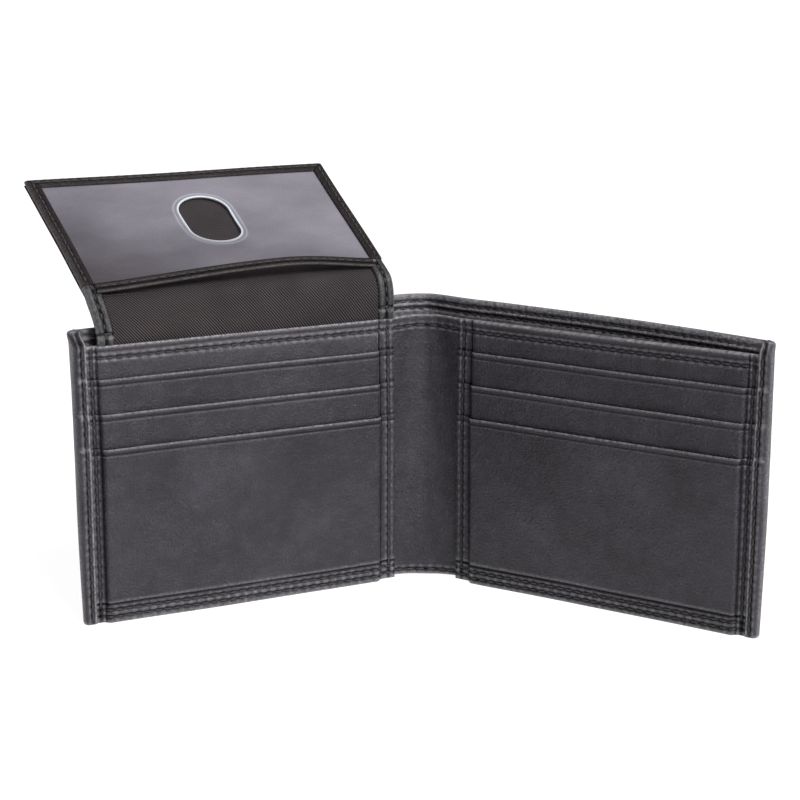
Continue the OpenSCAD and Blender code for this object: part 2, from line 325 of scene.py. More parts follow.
def even_curve(points, count=600):
    """A smooth curve through points, as equally spaced samples."""
    p = np.array(points, float)
    p = np.vstack([2 * p[0] - p[1], p, 2 * p[-1] - p[-2]])
    spans = []
    for i in range(1, len(p) - 2):
        t = np.linspace(0, 1, 60, endpoint=False)[:, None]
        a, b, c, d = p[i - 1], p[i], p[i + 1], p[i + 2]
        spans.append(0.5 * (2 * b + (c - a) * t + (2 * a - 5 * b + 4 * c - d) * t ** 2
                            + (3 * b - a - 3 * c + d) * t ** 3))
    dense = np.vstack(spans + [p[-2:-1]])
    length = np.concatenate([[0], np.cumsum(np.linalg.norm(np.diff(dense, axis=0), axis=1))])
    even = np.linspace(0, length[-1], count)
    return np.stack([np.interp(even, length, dense[:, i]) for i in (0, 1)], -1), length[-1]


# Face of the flap's cloth from inside the slip pocket to the ID leaf, at its right and left edge
RIGHT_PROFILE, RIGHT_LEN = even_curve([
    (0.35, 80), (0.35, 84), (0.35, 88), (0.55, 92), (0.25, 95.4), (-1.4, 98.7),
    in_leaf(0, -0.2), in_leaf(2.5, -0.2), in_leaf(7, -0.2)])
LEFT_PROFILE, LEFT_LEN = even_curve([
    (0.35, 80), (0.35, 84), (0.3, 88), (-0.9, 91.6), (-2.8, 94.8), (-5.0, 97.7),
    in_leaf(2.5, -0.2 - ID_DROOP), in_leaf(7, -0.2 - 0.9 * ID_DROOP)])
STRIP_LEN = (RIGHT_LEN + LEFT_LEN) / 2
STRIP_MID = 0.46 * STRIP_LEN
STRIP_FOOT = 7.0


def strip_point(u, t, out=0.0):
    """A point on the flap's cloth, t along it from inside the slip pocket."""
    u, t, out = np.broadcast_arrays(u, t, out)
    index = np.clip(t / STRIP_LEN, 0, 1) * (len(RIGHT_PROFILE) - 1)
    across = (u - FLAP_U0) / FLAP_W
    drooping = smooth(0.5 * STRIP_LEN, STRIP_LEN - 7, t)
    share = across + (smooth(30, FLAP_U1, u) - across) * drooping
    width = FOOT_W + (FLAP_W * ID_NEAR - FOOT_W) * smooth(STRIP_FOOT, STRIP_LEN, t)

    def profile(at):
        """w and v at this place along the two edges' profiles, shared out between them."""
        at = np.clip(at, 0, len(RIGHT_PROFILE) - 1)
        grid = np.arange(len(RIGHT_PROFILE))
        return np.array([(1 - share) * np.interp(at, grid, RIGHT_PROFILE[:, i])
                         + share * np.interp(at, grid, LEFT_PROFILE[:, i]) for i in (0, 1)])

    w, v = profile(index)
    dw, dv = profile(index + 6) - profile(index - 6)
    size = np.hypot(dw, dv)
    return leaf_point(LEFT, FLAP_U0 + across * width, w + out * dv / size, v - out * dw / size)


# ---------------- meshes

def samples(low, high, step, marks=(), rim=0.5):
    """Sample positions, close together at both rims and round each mark (place, half width)."""
    values = list(np.linspace(low, high, max(2, int(round((high - low) / step)) + 1)))
    for share in (0.1, 0.3, 0.6, 1.0):
        values += [low + rim * share, high - rim * share]
    for place, half in marks:
        values += [place + half * share for share in (-1, -0.5, 0, 0.5, 1)]
    values = sorted(value for value in values if low < value < high)
    kept = [low]
    for value in values:
        if value - kept[-1] > 0.045:
            kept.append(value)
    if high - kept[-1] < 0.03:
        kept.pop()
    return np.array(kept + [high])


def surface_normals(place, a, b):
    """Unit normals of a surface, from differences."""
    eps = 0.04
    along = place(a + eps, b) - place(a - eps, b)
    across = place(a, b + eps) - place(a, b - eps)
    normal = np.cross(along, across)
    return normal / np.maximum(np.linalg.norm(normal, axis=-1, keepdims=True), 1e-12)


def placed(name, data):
    """A new object with this data, in the scene."""
    made = bpy.data.objects.new(name, data)
    bpy.context.scene.collection.objects.link(made)
    return made


def new_mesh(name, points, faces, flat, surface_tone, material):
    """A closed mesh in metres, with the cloth's flat position and its surface tone at each vertex. On
    leather the tone is wear mixed with painted highlight above 0 and painted shade below 0; on the
    window it marks the sealed rim.
    """
    mesh = bpy.data.meshes.new(name)
    mesh.from_pydata((points * MM).tolist(), [], faces)
    data = mesh.attributes.new("flat", "FLOAT_VECTOR", "POINT")
    data.data.foreach_set("vector", flat.astype(np.float32).ravel())
    data = mesh.attributes.new("surface_tone", "FLOAT", "POINT")
    data.data.foreach_set("value", surface_tone.astype(np.float32).ravel())
    work = bmesh.new()
    work.from_mesh(mesh)
    bmesh.ops.recalc_face_normals(work, faces=work.faces)
    work.to_mesh(mesh)
    work.free()
    for polygon in mesh.polygons:
        polygon.use_smooth = True
    mesh.set_sharp_from_angle(angle=math.radians(48))
    mesh.materials.append(material)
    return placed(name + ".look", mesh)


def two_skins(name, front, back, flat, skin, rings, surface_tones, material):
    """A closed mesh of two like skins, joined along pairs of neighbouring vertices in rings."""
    count = front[..., 0].size
    faces = [skin, skin + count]
    for here, after in rings:
        faces.append(np.stack([here, after, after + count, here + count], -1))
    points = np.concatenate([front.reshape(-1, 3), back.reshape(-1, 3)])
    flat = np.stack([flat[0], flat[1], flat[0] * 0], -1).reshape(-1, 3)
    flat = np.concatenate([flat, flat + (0, 0, BACK_OFFSET)])
    surface_tone = np.concatenate([share.ravel() for share in surface_tones])
    return new_mesh(name, points, np.concatenate(faces).tolist(), flat, surface_tone, material)


def sheet(name, place, a, b, thickness, material, sign=1, relief=None, rim=0.5, butt="", worn_and_highlit="",
          extra_wear_and_light=None, back_wear_and_light=None):
    """A sheet whose face is place(a, b). Its rims are rounded, except at the sides named in butt."""
    grid_a, grid_b = np.meshgrid(a, b, indexing="ij")
    face = place(grid_a, grid_b)
    normal = surface_normals(place, grid_a, grid_b) * sign
    thick = thickness(grid_a, grid_b) if callable(thickness) else np.full(grid_a.shape, thickness)
    sides = {
        "a0": grid_a - a[0],
        "a1": a[-1] - grid_a,
        "b0": grid_b - b[0],
        "b1": b[-1] - grid_b,
    }
    distance = np.full(grid_a.shape, 1e3)
    pale_rim_distance = np.full(grid_a.shape, 1e3)
    for side, values in sides.items():
        if side not in butt:
            distance = np.minimum(distance, values)
        if side in worn_and_highlit:
            pale_rim_distance = np.minimum(pale_rim_distance, values)
    round_share = np.clip(distance / rim, 0, 1)
    full = np.maximum(np.sqrt(1 - (1 - round_share) ** 2), 0.12)
    lift = relief(grid_a, grid_b) * full if relief else 0.0
    draw = thick / 2 * (1 - full)
    front = face + normal * (lift - draw)[..., None]
    back = face + normal * (draw - thick)[..., None]
    # The rims named for wear get a pale line that is partly wear and partly painted highlight; the
    # extra tones add painted highlight and painted shade, and the back face takes 0.6 of the front's
    # tone.
    surface_tone = 1 - smooth(0.1, 1.1, pale_rim_distance)
    if extra_wear_and_light is not None:
        surface_tone = np.clip(surface_tone + extra_wear_and_light(grid_a, grid_b), -1, 1)
    back_tone = surface_tone * 0.6
    if back_wear_and_light is not None:
        back_tone = np.clip(back_tone + back_wear_and_light(grid_a, grid_b), -1, 1)
    index = np.arange(grid_a.size).reshape(grid_a.shape)
    skin = np.stack([index[:-1, :-1], index[1:, :-1], index[1:, 1:], index[:-1, 1:]], -1)
    rings = [(ring[:-1], ring[1:]) for ring in (index[0], index[-1], index[:, 0], index[:, -1])]
    return two_skins(name, front, back, (grid_a, grid_b), skin.reshape(-1, 4), rings,
                     (surface_tone, back_tone), material)


class Stitches:
    """Gathers rows of stitches for one mesh. Each stitch is an arched thread whose ends dive in."""

    RINGS = np.array([-1.1, -0.85, -0.35, 0.35, 0.85, 1.1])
    RADII = np.array([0.10, 0.21, 0.26, 0.26, 0.21, 0.10])
    HEIGHTS = np.array([-0.24, -0.03, 0.09, 0.09, -0.03, -0.24])
    ROUND = 7

    def __init__(self, seed):
        self.random = np.random.default_rng(seed)
        self.points = []
        self.faces = []
        self.flats = []
        self.count = 0

    def row(self, place, start, end, pitch=PITCH, size=1.0, flip=1):
        """Stitches from start to end, two pairs of flat coordinates, on the surface place(a, b)."""
        t = np.linspace(0, 1, 400)
        a = start[0] + (end[0] - start[0]) * t
        b = start[1] + (end[1] - start[1]) * t
        path = place(a, b)
        normal = surface_normals(place, a, b) * flip
        length = np.concatenate([[0], np.cumsum(np.linalg.norm(np.diff(path, axis=0), axis=1))])
        number = max(1, int(length[-1] / pitch + 0.1))
        spread = length[-1] / number
        shift = self.random.uniform(-0.12, 0.12, number)
        centres = (np.arange(number) + 0.5) * spread + shift
        slant = self.random.uniform(-0.08, 0.08, number)
        at = centres[:, None] + self.RINGS * size * spread / PITCH

        def along(values):
            return np.stack([np.interp(at, length, values[:, i]) for i in range(3)], -1)

        core = along(path)
        up = along(normal)
        up /= np.linalg.norm(up, axis=-1, keepdims=True)
        ahead = core[:, -1:] - core[:, :1]
        ahead = ahead / np.linalg.norm(ahead, axis=-1, keepdims=True)
        across = np.cross(np.broadcast_to(ahead, up.shape), up)
        core = core + up * (self.HEIGHTS * size)[None, :, None]
        core = core + across * (slant[:, None] * self.RINGS)[..., None]
        angle = np.arange(self.ROUND) / self.ROUND * 2 * math.pi
        radius = (self.RADII * size)[None, :, None, None]
        spokes = (across[:, :, None] * np.cos(angle)[None, None, :, None]
                  + up[:, :, None] * np.sin(angle)[None, None, :, None] * 0.8)
        rings = core[:, :, None] + spokes * radius
        first = np.arange(self.ROUND)
        after = np.roll(first, -1)
        starts = np.arange(len(self.RINGS) - 1)[:, None] * self.ROUND
        corners = [first, after, after + self.ROUND, first + self.ROUND]
        sides = np.stack([starts + corner for corner in corners], -1).reshape(-1, 4)
        last = starts[-1] + self.ROUND + first[::-1]
        stitch = sides.tolist() + [first.tolist(), last.tolist()]
        per = len(self.RINGS) * self.ROUND
        for base in range(self.count, self.count + number * per, per):
            self.faces += [[base + corner for corner in face] for face in stitch]
        self.points.append(rings.reshape(-1, 3))
        lengthwise = np.broadcast_to(at[:, :, None], rings.shape[:3])
        turns = np.broadcast_to(angle[None, None, :], rings.shape[:3])
        self.flats.append(np.stack([lengthwise, turns, turns * 0], -1).reshape(-1, 3))
        self.count += number * per

    def mesh(self, name):
        points = np.concatenate(self.points)
        flat = np.concatenate(self.flats)
        return new_mesh(name, points, self.faces, flat, np.zeros(len(points)), dark_thread)


def at_stitch(along):
    """1 at the middle of each stitch of a row and 0 at the holes between them."""
    return 0.5 + 0.5 * np.cos(2 * math.pi * along / PITCH)


def row_groove(distance, along):
    """Relief of a stitch row: a channel, and leather that swells between the stitches."""
    pull = 1.0 - 0.45 * (1 - at_stitch(along))
    swell = 0.10 + 0.16 * (1 - at_stitch(along))
    return -0.38 * bump(distance, 0.5) * pull + swell * bump(np.abs(distance) - 1.0, 0.45)


def row_shade_and_highlight(distance, along):
    """Painted tone of a stitch row: painted shade round each stitch, painted highlight on the swellings
    beside it.
    """
    dark = bump(distance, 0.55) * (0.25 + 0.75 * at_stitch(along))
    light = bump(np.abs(distance) - 1.0, 0.4) * (1.0 - 0.7 * at_stitch(along))
    return 0.62 * light - 0.95 * dark


def grooves(rows, across, along):
    """Relief of several parallel stitch rows."""
    return sum(row_groove(across - row, along) for row in rows)


def row_tones(rows, across, along):
    """Painted shade and highlight of several parallel stitch rows."""
    return sum(row_shade_and_highlight(across - row, along) for row in rows)


# ---------------- materials

class Shader:
    """A node material: a Principled shader and short calls to feed it."""

    def __init__(self, name, **values):
        self.material = bpy.data.materials.new(name)
        self.material.use_nodes = True
        self.tree = self.material.node_tree
        self.shader = self.tree.nodes["Principled BSDF"]
        for key, value in values.items():
            self.shader.inputs[key.replace("_", " ")].default_value = value

    def node(self, kind, settings=None, **inputs):
        """A new node. An input is given by its name, or by its number as i0, i1 and so on."""
        made = self.tree.nodes.new("ShaderNode" + kind)
        for key, value in (settings or {}).items():
            setattr(made, key, value)
        for key, value in inputs.items():
            numbered = key[0] == "i" and key[1:].isdigit()
            socket = made.inputs[int(key[1:]) if numbered else key]
            if isinstance(value, bpy.types.NodeSocket):
                self.tree.links.new(value, socket)
            else:
                socket.default_value = value
        return made

    def feed(self, socket, value):
        self.tree.links.new(value, self.shader.inputs[socket])

    def flat(self):
        """The material's own position on the piece, in millimetres."""
        return self.node("Attribute", {"attribute_name": "flat"}).outputs["Vector"]

    def surface_tone(self):
        return self.node("Attribute", {"attribute_name": "surface_tone"}).outputs["Fac"]

    def math(self, operation, a, b=0.0):
        return self.node("Math", {"operation": operation}, i0=a, i1=b).outputs[0]

    def times(self, a, b):
        return self.math("MULTIPLY", a, b)

    def plus(self, a, b):
        return self.math("ADD", a, b)

    def split(self, vector):
        """The vector's first two coordinates."""
        return self.node("SeparateXYZ", i0=vector).outputs[:2]

    def scaled(self, vector, scale):
        return self.node("Mapping", i0=vector, i3=scale).outputs[0]

    def noise(self, vector, scale, detail=3.0, roughness=0.5):
        made = self.node("TexNoise", Vector=vector, Scale=scale, Detail=detail, Roughness=roughness)
        return made.outputs[0]

    def ramp(self, value, low, high, to_low=0.0, to_high=1.0):
        return self.node("MapRange", i0=value, i1=low, i2=high, i3=to_low, i4=to_high).outputs[0]

    def mix(self, share, first, second):
        made = self.node("Mix", {"data_type": "RGBA"}, i0=share, i6=first, i7=second)
        return made.outputs[2]

    def bump(self, height, distance, strength=1.0, normal=None):
        made = self.node("Bump", Height=height, Distance=distance * MM, Strength=strength)
        if normal is not None:
            self.tree.links.new(normal, made.inputs["Normal"])
        return made.outputs[0]


def rgb(*values):
    return (*values, 1.0)


def leather(name, dark, light, worn_and_highlit, roughness, gloss):
    """Smooth thin leather: fine grain, faint creases and soft patches, with paler edges and ridges that
    are partly wear and partly painted highlight, and painted shade where the surface tone falls below
    0.
    """
    s = Shader(name, IOR=1.46, Specular_IOR_Level=gloss)
    flat = s.flat()
    patches = s.noise(flat, 0.035, 3.0, 0.6)
    blotches = s.noise(flat, 0.22, 4.0, 0.6)
    specks = s.noise(flat, 1.7, 4.0, 0.7)
    tone = s.plus(s.times(patches, 0.6), s.times(blotches, 0.2))
    tone = s.plus(tone, s.times(specks, 0.8))
    colour = s.mix(s.ramp(tone, 0.66, 0.97), dark, light)
    breakup = s.noise(flat, 0.9, 4.0, 0.65)
    surface_tone = s.surface_tone()
    # painted highlight and wear: paler colour where the tone is above 0, broken up by noise
    highlight_and_rub = s.times(s.math("MAXIMUM", surface_tone, 0.0), s.ramp(breakup, 0.35, 0.62, 0.25, 1.0))
    # painted shade: near black, with less gloss, where the tone is below 0, in stitch channels, creases
    # and grooves
    painted_shade = s.times(s.math("MINIMUM", surface_tone, 0.0), -0.95)
    drawn = s.scaled(flat, (0.10, 0.22, 1.0))
    folds = s.math("ABSOLUTE", s.math("SUBTRACT", s.noise(drawn, 1.0, 6.0, 0.68), 0.5))
    creases = s.ramp(folds, 0.0, 0.03)
    near_fold = s.times(s.ramp(folds, 0.0, 0.02, 0.08, 0.0), s.ramp(blotches, 0.5, 0.6))
    colour_with_highlight_and_rub = s.mix(s.math("MAXIMUM", highlight_and_rub, near_fold), colour, worn_and_highlit)
    s.feed("Base Color", s.mix(painted_shade, colour_with_highlight_and_rub, rgb(0.001, 0.001, 0.001)))
    uneven = s.ramp(patches, 0.3, 0.7, roughness + 0.06, roughness - 0.06)
    s.feed("Roughness", s.math("SUBTRACT", uneven, s.times(highlight_and_rub, 0.08)))
    s.feed("Specular IOR Level", s.times(s.math("SUBTRACT", 1.0, painted_shade), gloss))
    pores = s.node("TexVoronoi", {"feature": "SMOOTH_F1"}, Vector=flat, Scale=1.5, Smoothness=0.4)
    grain = s.bump(pores.outputs["Distance"], 0.14, 1.0)
    fine = s.bump(specks, 0.26, 1.0, grain)
    soft = s.bump(blotches, 0.5, 0.5, fine)
    s.feed("Normal", s.bump(creases, 0.08, 0.6, soft))
    return s.material


def twill(name, dark, light):
    """Twill cloth: diagonal ribs of yarn with small breaks along each rib."""
    s = Shader(name, Roughness=0.72, Sheen_Weight=0.06, Sheen_Roughness=0.4, Specular_IOR_Level=0.15)
    flat = s.flat()
    u, h = s.split(flat)
    waver = s.times(s.noise(flat, 0.35, 2.0), 0.35)
    across = s.plus(s.plus(s.times(u, -0.78), s.times(h, 0.62)), waver)
    along = s.plus(s.times(u, 0.62), s.times(h, 0.78))
    rib = s.math("SINE", s.times(across, 2 * math.pi / TWILL_PITCH))
    yarn = s.math("SINE", s.times(along, 2 * math.pi / 0.55))
    height = s.plus(s.times(rib, 0.5), s.times(yarn, 0.12))
    tint = s.ramp(height, -0.15, 0.6)
    shade = s.ramp(s.noise(flat, 0.08, 3.0), 0.3, 0.7, 0.75, 1.1)
    s.feed("Base Color", s.mix(s.times(tint, shade), dark, light))
    s.feed("Normal", s.bump(height, 0.16, 1.0))
    return s.material


def lining(name, dark, light):
    """Fine plain-woven lining."""
    s = Shader(name, Roughness=0.6, Sheen_Weight=0.15)
    flat = s.flat()
    warp, weft = (s.math("SINE", s.times(axis, 2 * math.pi / LINING_PITCH)) for axis in s.split(flat))
    weave = s.times(warp, weft)
    shade = s.ramp(s.noise(flat, 0.1, 2.0), 0.3, 0.7, 0.6, 1.0)
    tone = s.times(s.ramp(weave, -1.0, 1.0), shade)
    s.feed("Base Color", s.mix(tone, dark, light))
    s.feed("Normal", s.bump(weave, 0.04, 0.6))
    return s.material


def thread(name, dark, light):
    """Twisted sewing thread."""
    s = Shader(name, Roughness=0.55, Sheen_Weight=0.2)
    along, around = s.split(s.flat())
    twist = s.math("SINE", s.plus(s.times(along, 9.0), s.times(around, 2.0)))
    s.feed("Base Color", s.mix(s.ramp(twist, -1.0, 1.0), dark, light))
    s.feed("Normal", s.bump(twist, 0.05, 0.7))
    return s.material


def clear_film(name, haze, bright, rim):
    """Slightly hazy clear film, pale where its edge is heat-sealed. Across the window the haze thickens
    away from the outer corner by the mouth, a painted reflection.
    """
    s = Shader(name, IOR=1.5, Specular_IOR_Level=0.6)
    flat = s.flat()
    smudge = s.noise(s.scaled(flat, (0.6, 1.0, 1.0)), 0.05, 3.0, 0.55)
    body = s.mix(s.ramp(smudge, 0.35, 0.65), haze, bright)
    sealed = s.surface_tone()
    s.feed("Base Color", s.mix(sealed, body, rim))
    u, h = s.split(flat)
    warped = s.plus(h, s.times(smudge, 26.0))
    toward_corner = s.math("SUBTRACT", u, s.times(warped, 1.5))
    # painted reflection: the pale haze fades from the spine side towards the outer corner by the mouth
    reflection_haze = s.ramp(toward_corner, -35.0, 58.0, 0.53, 0.07)
    s.feed("Alpha", s.math("MAXIMUM", reflection_haze, s.times(sealed, 0.75)))
    s.feed("Roughness", s.ramp(s.noise(flat, 0.12, 3.0), 0.3, 0.7, 0.08, 0.20))
    return s.material


black_leather = leather("black_leather", rgb(0.0085, 0.0068, 0.0102), rgb(0.036, 0.0310, 0.0415),
                        rgb(0.22, 0.210, 0.225), 0.28, 0.42)
bound_leather = leather("bound_leather", rgb(0.0040, 0.0037, 0.0048), rgb(0.013, 0.012, 0.0145),
                        rgb(0.15, 0.145, 0.155), 0.23, 0.5)
brown_leather = leather("brown_leather", rgb(0.0055, 0.0038, 0.0042), rgb(0.023, 0.0165, 0.0175),
                        rgb(0.085, 0.074, 0.072), 0.42, 0.25)
twill_cloth = twill("twill", rgb(0.0030, 0.0022, 0.0024), rgb(0.088, 0.073, 0.077))
thin_lining = lining("thin_lining", rgb(0.010, 0.0095, 0.011), rgb(0.024, 0.023, 0.026))
dark_thread = thread("thread", rgb(0.006, 0.006, 0.007), rgb(0.02, 0.019, 0.021))
film = clear_film("clear_film", rgb(0.24, 0.225, 0.265), rgb(0.33, 0.31, 0.36), rgb(0.75, 0.8, 0.86))


# ---------------- leaves

def riding(piece, body, slot_name, *nodes):
    """The piece moves with one body and stands for CAD nodes, which are hidden. Its slot_name is not
    used.
    """
    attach(piece, body)
    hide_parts(*nodes)
    return piece


def bending(piece, bodies, start, end, slot_name, *nodes):
    """Bakes the piece's place into its mesh. It may stand for CAD nodes, which are hidden. bodies,
    start and end are not used.
    """
    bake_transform(piece)
    if nodes:
        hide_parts(*nodes)
    return piece


def across_fold(piece, side, bend, slot_name, *nodes):
    """Hands the piece to bending, with the spine, a leaf and a stretch of x."""
    start, end = ((side * x * MM, 0, 0) for x in bend)
    bending(piece, ("spine", SIDE_NAMES[side] + "_leaf"), start, end, slot_name, *nodes)


def middle_node(side, name):
    """The CAD nodes in the middle of the spine are stood for by the left half's piece."""
    return [name] if side == LEFT else []


def hem(distance):
    """Relief of a turned leather edge, with the crease that ends it."""
    return 0.14 * (1 - smooth(1.1, 1.7, distance)) - 0.16 * bump(distance - 1.8, 0.26)


def band_relief(u, v):
    """Stitch channels and creases that all front layers share."""
    rows = grooves((INNER_ROW, PANEL_ROW), u, v) + grooves(FOOT_ROWS, v, u)
    upright = bump(u - INNER_CREASE, 0.32) + bump(u - OUTER_CREASE, 0.32)
    relief = rows - 0.24 * upright - 0.22 * bump(v - FOOT_CREASE, 0.32)
    # no channel is deeper than the leather where it is stitched down
    return np.maximum(relief, -0.75 * LEATHER_T * press(u))


def band_wear_and_light(u, v):
    """Paler ridges beside the stitch rows and creases, partly rubbed wear and partly painted highlight;
    painted shade in the creases; the pale slot edges toned down inside the band; and the rows' painted
    shade and highlight.
    """
    rows = row_tones((INNER_ROW, PANEL_ROW), u, v) + row_tones(FOOT_ROWS, v, u)
    ridges = bump(u - INNER_CREASE - 0.6, 0.3) + bump(v - FOOT_CREASE - 0.6, 0.3)
    in_band = 1 - (press(u) - INNER_SHARE) / (1 - INNER_SHARE)
    slot_bumps = sum(bump(v - edge - 0.1, 0.5) for edge in SLOT_EDGES) * in_band
    # painted shade in the creases
    dark = bump(u - INNER_CREASE, 0.35) + bump(u - OUTER_CREASE, 0.35)
    dark = dark + bump(v - FOOT_CREASE, 0.35)
    return rows + 0.6 * ridges - 0.9 * slot_bumps - 0.9 * dark


U_MARKS = [(INNER_ROW, 0.9), (INNER_CREASE, 0.7), (INNER_CREASE + 1.2, 0.5), (OUTER_CREASE, 0.7),
           (OUTER_CREASE - 1.0, 0.4), (PANEL_ROW, 0.9)]


def panel_sheets(side):
    """Header and card slots: leather sheets one above the other, and the linings of the slots."""
    name = SIDE_NAMES[side]
    body = name + "_leaf"
    across = samples(PANEL_START, PANEL_END, 0.95, U_MARKS)
    # The left header is painted lighter, a painted highlight where the flap tilts it up into the light.
    lit_header = 1.0 if side == LEFT else 0.0
    wrinkled = 1.0 if side == LEFT else 0.35

    def thick(u, v):
        return LEATHER_T * press(u)

    def header_place(u, v):
        return leaf_point(side, u, HEADER_FRONT * press(u) + wave(side, u, v), v)

    def header_relief(u, v):
        top = PANEL_H - v
        wrinkles = np.sin(u / 1.9 + 1.6 * np.sin(u / 4.3)) * np.sin(0.9 * v + u / 3.1)
        pulled = 0.14 * wrinkled * wrinkles * (1 - smooth(1, 6, np.abs(top - 6)))
        turned = hem(top) + 0.12 * (1 - smooth(2.4, 3.2, top))
        return turned + band_relief(u, v) + row_groove(v - HEADER_ROW, u) + pulled

    def header_wear_and_light(u, v):
        # painted highlight along the header's stitch row on the left leaf
        highlight_and_rub = lit_header * (0.06 + 0.22 * bump(v - HEADER_ROW, 1.5))
        return band_wear_and_light(u, v) + row_shade_and_highlight(v - HEADER_ROW, u) + highlight_and_rub

    up = samples(HEADER_LOW, PANEL_H, 0.9, [(HEADER_ROW, 0.9), (PANEL_H - 1.9, 0.5)])
    header = sheet(name + "_header", header_place, across, up, thick, black_leather, side,
                   relief=header_relief, worn_and_highlit="b1", extra_wear_and_light=header_wear_and_light)
    riding(header, body, "black_leather", name + "_header")

    for k, label in enumerate(("upper", "middle", "front")):
        node = f"{name}_slot_{label}"
        edge, foot = SLOT_EDGES[k], SLOT_FEET[k]

        def slot_place(u, v, k=k):
            return leaf_point(side, u, slot_front(k, v) * press(u) + wave(side, u, v), v)

        def slot_relief(u, v, edge=edge):
            return hem(edge - v) * press(u) + band_relief(u, v)

        def slot_wear_and_light(u, v, edge=edge):
            # painted shade in the hem's crease, a painted highlight just below it, and the pale edge
            # toned down
            hem_line = 0.3 * bump(edge - v - 2.15, 0.25) - 0.8 * bump(edge - v - 1.75, 0.25)
            return band_wear_and_light(u, v) + hem_line - 0.35 * bump(edge - v - 0.3, 0.7)

        marks = [(edge - 1.6, 0.6)]
        if foot == 0:
            marks += [(row, 0.8) for row in FOOT_ROWS] + [(FOOT_CREASE, 0.6)]
        piece = sheet(node, slot_place, across, samples(foot, edge, 0.95, marks), thick,
                      black_leather, side, relief=slot_relief,
                      worn_and_highlit="b1 b0" if foot == 0 else "b1", extra_wear_and_light=slot_wear_and_light)
        riding(piece, body, "black_leather", node)

        def lining_place(u, v, k=k):
            w = (slot_front(k, v) - LEATHER_T) * press(u) - 0.02 + wave(side, u, v)
            return leaf_point(side, u, w, v)

        def lining_thick(u, v):
            return (SLOT_LINING_T - 0.03) * press(u)

        low_u, high_u, low_v, high_v = 1.0, 101.5, 0.6, edge - 0.6
        piece = sheet(node + "_lining", lining_place, samples(low_u, high_u, 2.5, U_MARKS, rim=0.1),
                      samples(low_v, high_v, 2.5, rim=0.1), lining_thick, thin_lining, side, rim=0.1)
        riding(piece, body, "thin_lining", node + "_lining")


def wall_sheets(side):
    """Inner wall of the bill compartment and the thin backing of the card panel."""
    name = SIDE_NAMES[side]
    body = name + "_leaf"

    def wall_place(u, v):
        return leaf_point(side, u, -0.02 + wave(side, u, v), v)

    def wall_relief(u, v):
        return hem(PANEL_H - v)

    wall = sheet(name + "_inner_wall", wall_place, samples(STRIP_TUCK + 0.15, 101.6, 1.6),
                 samples(0.4, PANEL_H, 1.6, [(PANEL_H - 1.9, 0.5)]), WALL_T - 0.04, black_leather, side,
                 relief=wall_relief, worn_and_highlit="b1")
    riding(wall, body, "black_leather", name + "_inner_wall")

    def backing_place(u, v):
        return leaf_point(side, u, 0.58 * press(u) + wave(side, u, v), v)

    def backing_thick(u, v):
        return 0.15 * press(u)

    backing = sheet(name + "_panel_backing", backing_place, samples(0.8, 101.6, 2.0, U_MARKS, rim=0.1),
                    samples(0.4, 85.2, 2.0, rim=0.1), backing_thick, thin_lining, side, rim=0.1)
    riding(backing, body, "thin_lining", name + "_panel_backing")


